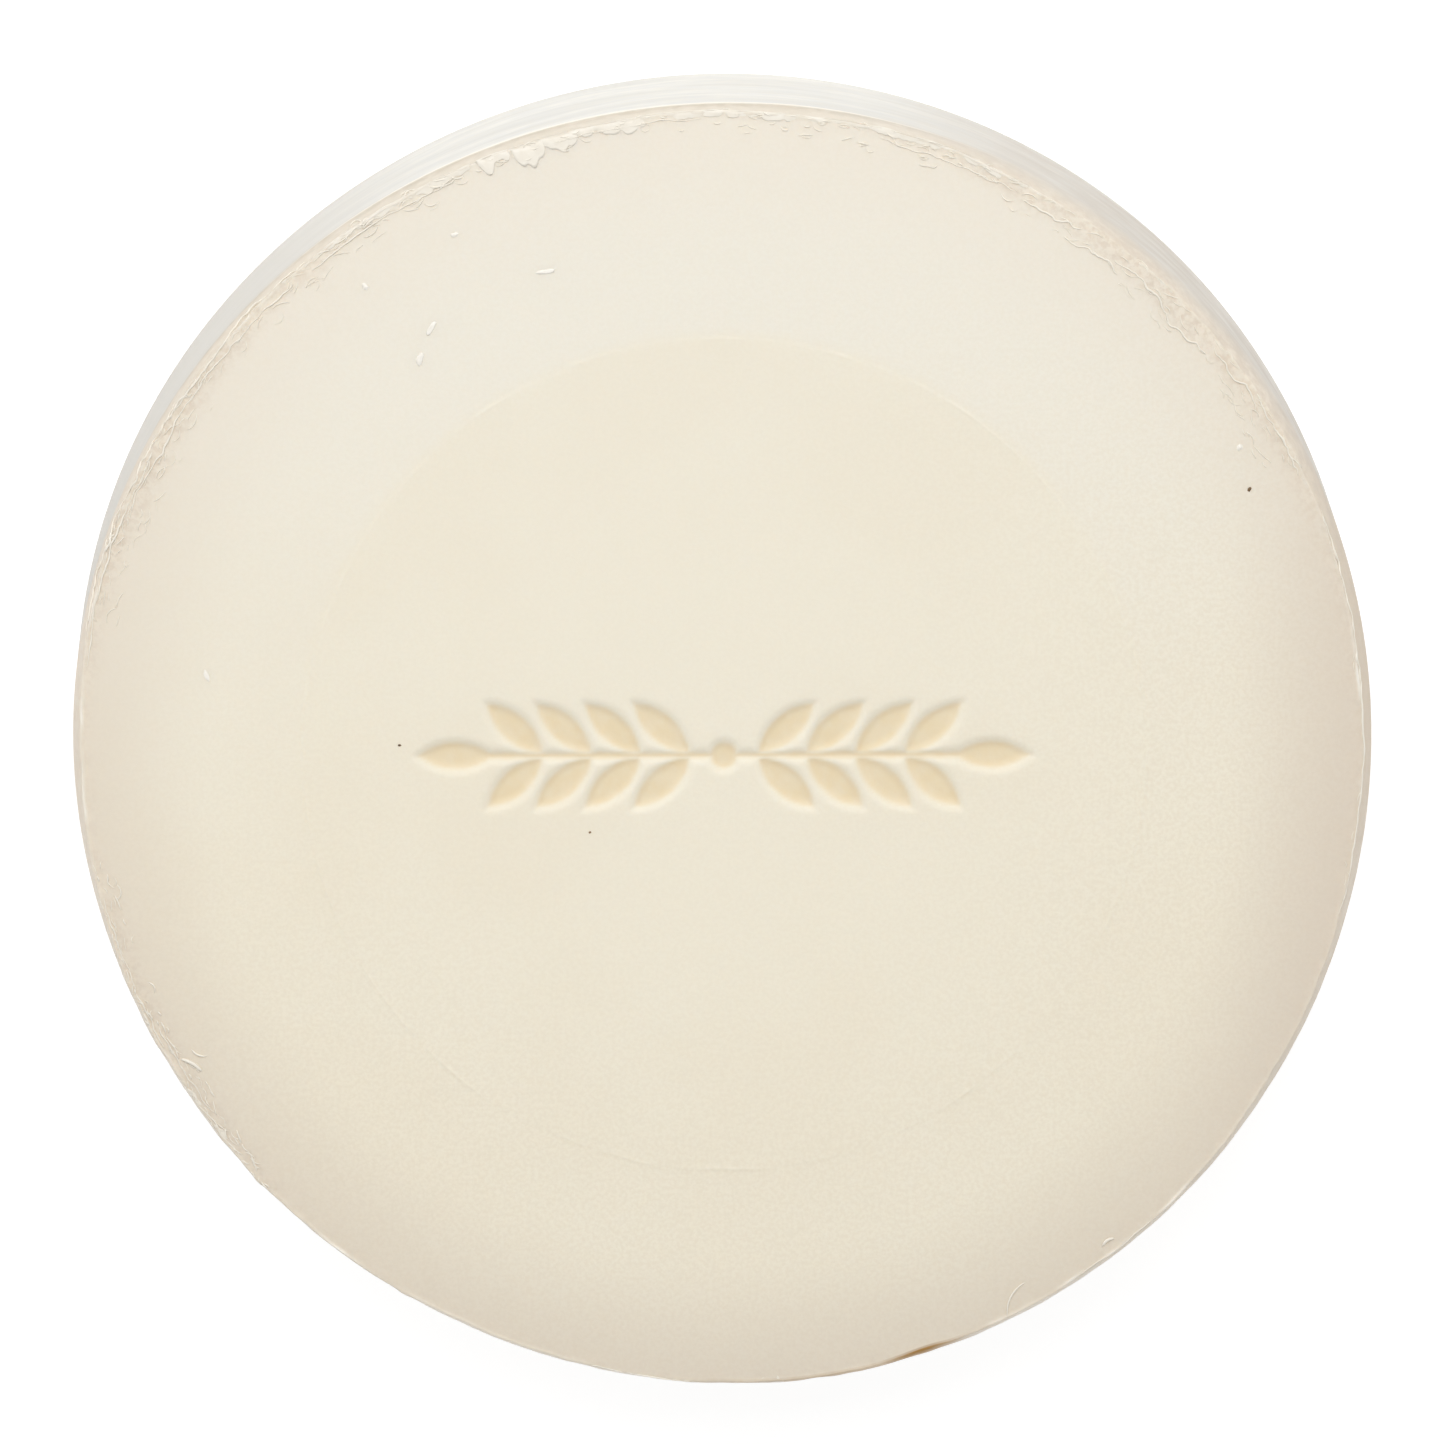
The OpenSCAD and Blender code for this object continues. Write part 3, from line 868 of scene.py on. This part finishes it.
def soap_material():
    s = Shader("hard_soap")
    fray = s.mask("fray")
    # painted light: paler low down, where the shoulder and wall face away from the key light
    painted_light_low = s.spread(s.across(-0.3, -0.95), 12, 34)
    streaks = s.spread(s.noise(1.6, 4, s.stretched((0.12, 0.12, 1.0))), 0.3, 0.7)
    body = s.mix(s.mask("shoulder"), face_colour(s), shoulder_colour(s, painted_light_low))
    body = s.mix(s.mask("wall"), frayed(s, body, fray), wall_colour(s, streaks, painted_light_low))
    # pale lip tone: on the rim partly the thin lip's own paler colour and partly painted highlight,
    # along the wall's bead a painted highlight
    body = s.mix(s.mask("lip"), body, srgb(246, 240, 229))
    # painted shadow: golden brown under the chipped edge of the rim, and faintly beside it
    body = s.mix(s.mask("chip"), body, srgb(170, 130, 74))
    s.feed(s.main.inputs["Base Color"], body)
    face_rough = s.spread(s.noise(0.8, 3), 0.3, 0.7, 0.50, 0.62)
    wall_rough = s.spread(streaks, 0.0, 1.0, 0.58, 0.70)
    s.feed(s.main.inputs["Roughness"], s.mix(s.mask("wall"), face_rough, wall_rough, "FLOAT"))
    s.main.inputs["IOR"].default_value = 1.2
    s.main.inputs["Subsurface Weight"].default_value = 0.25
    s.main.inputs["Subsurface Radius"].default_value = (1.0, 0.88, 0.72)
    s.main.inputs["Subsurface Scale"].default_value = 1.0 * MM
    tufts = s.maths("MULTIPLY", s.maths("MULTIPLY", fray, 2.5), s.noise(0.28, 4))
    pores = s.maths("ADD", s.noise(0.22, 4), s.noise(1.6, 3))
    pores = s.maths("MULTIPLY", pores, s.spread(s.across(0.4, -0.9), -25, 15, 0.6, 1.0))
    face_relief = s.maths("ADD", pores, tufts)
    wall_relief = s.maths("MULTIPLY", streaks, 0.5)
    s.relief(s.mix(s.mask("wall"), face_relief, wall_relief, "FLOAT"), 0.008)
    return s.material


def flash_material():
    s = Shader("thin_shavings")
    body = s.mix(s.spread(s.noise(0.7, 3), 0.35, 0.65), srgb(234, 228, 216), srgb(229, 221, 206))
    # paler tips and whole threads: partly the thin shavings' own paler tone, partly painted highlight
    body = s.mix(s.maths("MULTIPLY", s.mask("tip"), 0.8), body, srgb(242, 236, 223))
    s.feed(s.main.inputs["Base Color"], body)
    s.feed(s.main.inputs["Roughness"], s.spread(s.noise(0.5, 2), 0.3, 0.7, 0.35, 0.55))
    s.relief(s.noise(0.25, 3), 0.01)
    return s.material


def crumb_material():
    s = Shader("pale_crumbs")
    body = s.mix(s.spread(s.noise(0.3, 3), 0.35, 0.65), srgb(247, 243, 234), srgb(242, 237, 226))
    s.feed(s.main.inputs["Base Color"], body)
    s.feed(s.main.inputs["Roughness"], s.spread(s.noise(0.2, 2), 0.3, 0.7, 0.45, 0.6))
    return s.material


def grit_material():
    s = Shader("dark_grains")
    body = s.mix(s.spread(s.noise(0.15, 2), 0.35, 0.65), srgb(96, 74, 50), srgb(140, 112, 80))
    s.feed(s.main.inputs["Base Color"], body)
    s.feed(s.main.inputs["Roughness"], s.spread(s.noise(0.1, 2), 0.3, 0.7, 0.6, 0.8))
    return s.material


def floor_material():
    """Plain and pale: an even glow of its own lifts it nearly to white."""
    s = Shader("studio_floor")
    body = s.mix(s.spread(s.noise(60, 2), 0.3, 0.7), srgb(158, 158, 158), srgb(156, 156, 156))
    s.feed(s.main.inputs["Base Color"], body)
    s.feed(s.main.inputs["Roughness"], s.spread(s.noise(20, 2), 0.3, 0.7, 0.6, 0.7))
    s.main.inputs["Emission Color"].default_value = (1, 1, 1, 1)
    s.main.inputs["Emission Strength"].default_value = 0.79
    return s.material


# ---------------------------------------------------------------- studio
def floor_piece():
    """A wide pale disc just under the puck."""
    floor = Builder()
    around = np.arange(96) * 2 * math.pi / 96
    last = None
    for r in 4000 * (np.arange(1, 25) / 24) ** 3:
        numbers = floor.add(r * np.cos(around), r * np.sin(around), -0.02)
        if last is None:
            floor.faces.append(numbers.tolist())
        else:
            floor.join(last, numbers)
        last = numbers
    obj = bpy.data.objects.new("floor", floor.mesh("floor"))
    bpy.context.scene.collection.objects.link(obj)
    return obj


def sky():
    """White round the horizon and dimmer overhead, like a studio sweep."""
    world = bpy.data.worlds.new("studio")
    bpy.context.scene.world = world
    world.use_nodes = True
    nodes, links = world.node_tree.nodes, world.node_tree.links
    split = nodes.new("ShaderNodeSeparateXYZ")
    links.new(nodes.new("ShaderNodeTexCoord").outputs["Generated"], split.inputs["Vector"])
    fade = nodes.new("ShaderNodeMapRange")
    fade.interpolation_type = "SMOOTHSTEP"
    links.new(split.outputs["Z"], fade.inputs["Value"])
    limits = {"From Min": 0.08, "From Max": 0.35, "To Min": 1.0, "To Max": 0.40}
    for name, limit in limits.items():
        fade.inputs[name].default_value = limit
    links.new(fade.outputs["Result"], nodes["Background"].inputs["Strength"])
    nodes["Background"].inputs["Color"].default_value = (1, 1, 1, 1)


def softbox(name, direction, distance, size, power):
    """A square soft light that faces the puck from that direction."""
    data = bpy.data.lights.new(name, "AREA")
    data.shape = "SQUARE"
    data.size = size
    data.energy = power
    obj = bpy.data.objects.new(name, data)
    bpy.context.scene.collection.objects.link(obj)
    away = Vector(direction).normalized()
    obj.location = away * distance
    obj.rotation_mode = "QUATERNION"
    obj.rotation_quaternion = away.to_track_quat("Z", "Y")


VIEW_TILT = math.radians(9.7)  # how far the camera leans off the puck's axis
VIEW_TURN = math.radians(96)  # the bearing that it leans towards
VIEW_DISTANCE = 27 * WALL_R * MM
FRAME_W = 2.2150 * WALL_R * MM  # width of what the camera sees at the stamped face
FACE_OFF = (0.08 * MM, -1.88 * MM)  # where the middle of the face falls from the middle of the view


def camera():
    data = bpy.data.cameras.new("camera")
    obj = bpy.data.objects.new("camera", data)
    bpy.context.scene.collection.objects.link(obj)
    back = Vector((math.sin(VIEW_TILT) * math.cos(VIEW_TURN),
                   math.sin(VIEW_TILT) * math.sin(VIEW_TURN), math.cos(VIEW_TILT)))
    right = Vector((0, 1, 0)).cross(back).normalized()
    up = back.cross(right)
    middle = Vector((0, 0, FACE_Z * MM)) - right * FACE_OFF[0] - up * FACE_OFF[1]
    place = Matrix((right, up, back)).transposed().to_4x4()
    place.translation = middle + back * VIEW_DISTANCE
    obj.matrix_world = place
    data.sensor_width = 36.0
    data.lens = data.sensor_width * VIEW_DISTANCE / FRAME_W
    data.clip_start = 0.05
    data.clip_end = 20.0
    bpy.context.scene.camera = obj


# ---------------------------------------------------------------- assembly
def main():
    camera()
    cake_piece().data.materials.append(soap_material())
    torn_pieces(flash_material())
    bits_piece("crumbs", "flash", "face_crumbs", CRUMBS, crumb_material())
    bits_piece("grains", "grit", "dark_specks", GRAINS, grit_material())
    floor_piece().data.materials.append(floor_material())
    sky()
    softbox("key_light", (-0.06, 0.5, 0.87), 1.0, 0.6, 6.9)
    bpy.context.scene.view_settings.view_transform = "Standard"


main()
